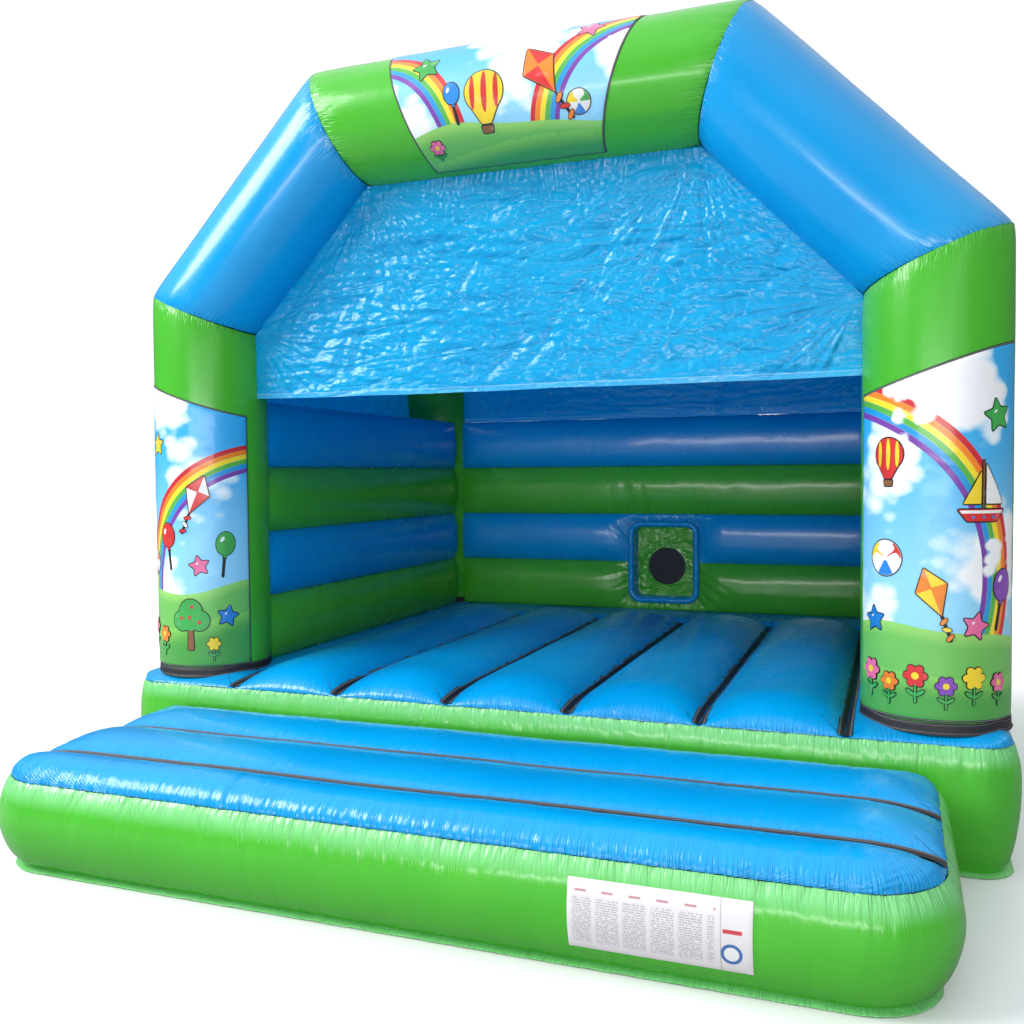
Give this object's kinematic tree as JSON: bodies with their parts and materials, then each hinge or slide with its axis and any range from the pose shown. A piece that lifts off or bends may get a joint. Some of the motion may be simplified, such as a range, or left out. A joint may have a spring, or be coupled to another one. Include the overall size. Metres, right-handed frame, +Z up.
{
  "type": "inflatable bounce house",
  "caption": "Inflatable bounce house: a bounce floor inside padded walls, under a rain cover held by an A-frame of air tubes, with a front step and a blower behind.",
  "frame": {"origin": "centre of the bounce platform's underside, on the ground", "axes": "+X to the right for a person who faces the entrance, +Y from the entrance to the rear, +Z up"},
  "size_m": [3.806, 5.3025, 3.2149],
  "materials": {
    "blue_pvc": "glossy coated fabric",
    "green_pvc": "glossy coated fabric",
    "grey_pvc": "matte coated fabric",
    "baffle_fabric": "matte coated fabric",
    "black_webbing": "woven",
    "loop_tape": "looped pile",
    "printed_pvc": "printed, satin",
    "vent_mesh": "open mesh",
    "label_film": "satin",
    "zinc_steel": "zinc plated",
    "slider_metal": "satin",
    "blower_plastic": "moulded",
    "impeller_plastic": "moulded",
    "motor_metal": "cast",
    "grille_steel": "powder coated",
    "foot_rubber": "matte",
    "switch_plastic": "moulded",
    "rocker_plastic": "moulded"
  },
  "bodies": {
    "castle": {"air_inlet_tube": "blue_pvc", "anchor_patches": "black_webbing", "banner_loop_tapes": "loop_tape", "base_side_band": "green_pvc", "base_underside": "grey_pvc", "blower_feet": "foot_rubber", "blower_inlet_grille": "grille_steel", "blower_left_housing": "blower_plastic", "blower_motor": "motor_metal", "blower_right_housing": "blower_plastic", "blower_screws": "zinc_steel", "blower_switch_box": "switch_plastic", "bounce_floor_top": "blue_pvc", "column_foot_tapes": "black_webbing", "floor_baffles": "baffle_fabric", "floor_seam_tapes": "black_webbing", "front_gable_sheet": "blue_pvc", "front_left_column": "green_pvc", "front_rafters": "blue_pvc", "front_right_column": "green_pvc", "front_top_beam": "green_pvc", "left_side_sheet": "blue_pvc", "left_wall_blue_tubes": "blue_pvc", "left_wall_green_tubes": "green_pvc", "rear_gable_sheet": "blue_pvc", "rear_left_column": "green_pvc", "rear_rafters": "blue_pvc", "rear_right_column": "green_pvc", "rear_top_beam": "green_pvc", "rear_wall_blue_tubes": "blue_pvc", "rear_wall_green_tubes": "green_pvc", "right_side_sheet": "blue_pvc", "right_wall_blue_tubes": "blue_pvc", "right_wall_green_tubes": "green_pvc", "roof_cover": "blue_pvc", "step_hinge_strip": "black_webbing", "tube_strap": "black_webbing", "window_frame": "blue_pvc", "window_mesh": "vent_mesh", "window_vent_panel": "green_pvc", "zip_tape": "black_webbing"},
    "step": {"step_underside": "grey_pvc", "step_side_band": "green_pvc", "step_top": "blue_pvc", "step_baffles": "baffle_fabric", "step_seam_tapes": "black_webbing", "step_label": "label_film"},
    "left_banner": {"left_banner": "printed_pvc"},
    "right_banner": {"right_banner": "printed_pvc"},
    "top_banner": {"top_banner": "printed_pvc"},
    "zip_slider": {"zip_slider": "slider_metal"},
    "zip_flap": {"zip_flap": "blue_pvc"},
    "impeller": {"blower_impeller": "impeller_plastic"},
    "rocker": {"blower_switch_rocker": "rocker_plastic"},
    "left_front_anchor_ring": {"left_front_anchor_ring": "zinc_steel"},
    "left_middle_anchor_ring": {"left_middle_anchor_ring": "zinc_steel"},
    "left_rear_anchor_ring": {"left_rear_anchor_ring": "zinc_steel"},
    "right_front_anchor_ring": {"right_front_anchor_ring": "zinc_steel"},
    "right_middle_anchor_ring": {"right_middle_anchor_ring": "zinc_steel"},
    "right_rear_anchor_ring": {"right_rear_anchor_ring": "zinc_steel"}
  },
  "joints": [
    {"name": "step_lift", "type": "hinge", "parent": "castle", "child": "step", "pos_m": [0, -1.64, 0.362], "axis": [-1, 0, 0], "range_deg": [0, 40]},
    {"name": "left_banner_peel", "type": "slide", "parent": "castle", "child": "left_banner", "axis": [0, -1, 0], "range_m": [0, 0.04]},
    {"name": "right_banner_peel", "type": "slide", "parent": "castle", "child": "right_banner", "axis": [0, -1, 0], "range_m": [0, 0.04]},
    {"name": "top_banner_peel", "type": "slide", "parent": "castle", "child": "top_banner", "axis": [0, -1, 0], "range_m": [0, 0.04]},
    {"name": "zip_slide", "type": "slide", "parent": "castle", "child": "zip_slider", "axis": [1, 0, 0], "range_m": [0, 0.56]},
    {"name": "zip_flap_lift", "type": "hinge", "parent": "castle", "child": "zip_flap", "pos_m": [-1.25, 1.6495, 0.28], "axis": [1, 0, 0], "range_deg": [0, 120]},
    {"name": "impeller_spin", "type": "hinge", "parent": "castle", "child": "impeller", "pos_m": [0.9, 2.38, 0.265], "axis": [1, 0, 0], "continuous": true},
    {"name": "switch_rock", "type": "hinge", "parent": "castle", "child": "rocker", "pos_m": [0.7485, 2.38, 0.3825], "axis": [0, -1, 0], "range_deg": [0, 16]},
    {"name": "left_front_anchor_ring_swing", "type": "hinge", "parent": "castle", "child": "left_front_anchor_ring", "pos_m": [-1.896, -1.25, 0.112], "axis": [0, 1, 0], "range_deg": [0, 150]},
    {"name": "left_middle_anchor_ring_swing", "type": "hinge", "parent": "castle", "child": "left_middle_anchor_ring", "pos_m": [-1.896, 0, 0.112], "axis": [0, 1, 0], "range_deg": [0, 150]},
    {"name": "left_rear_anchor_ring_swing", "type": "hinge", "parent": "castle", "child": "left_rear_anchor_ring", "pos_m": [-1.896, 1.25, 0.112], "axis": [0, 1, 0], "range_deg": [0, 150]},
    {"name": "right_front_anchor_ring_swing", "type": "hinge", "parent": "castle", "child": "right_front_anchor_ring", "pos_m": [1.896, -1.25, 0.112], "axis": [0, -1, 0], "range_deg": [0, 150]},
    {"name": "right_middle_anchor_ring_swing", "type": "hinge", "parent": "castle", "child": "right_middle_anchor_ring", "pos_m": [1.896, 0, 0.112], "axis": [0, -1, 0], "range_deg": [0, 150]},
    {"name": "right_rear_anchor_ring_swing", "type": "hinge", "parent": "castle", "child": "right_rear_anchor_ring", "pos_m": [1.896, 1.25, 0.112], "axis": [0, -1, 0], "range_deg": [0, 150]}
  ]
}
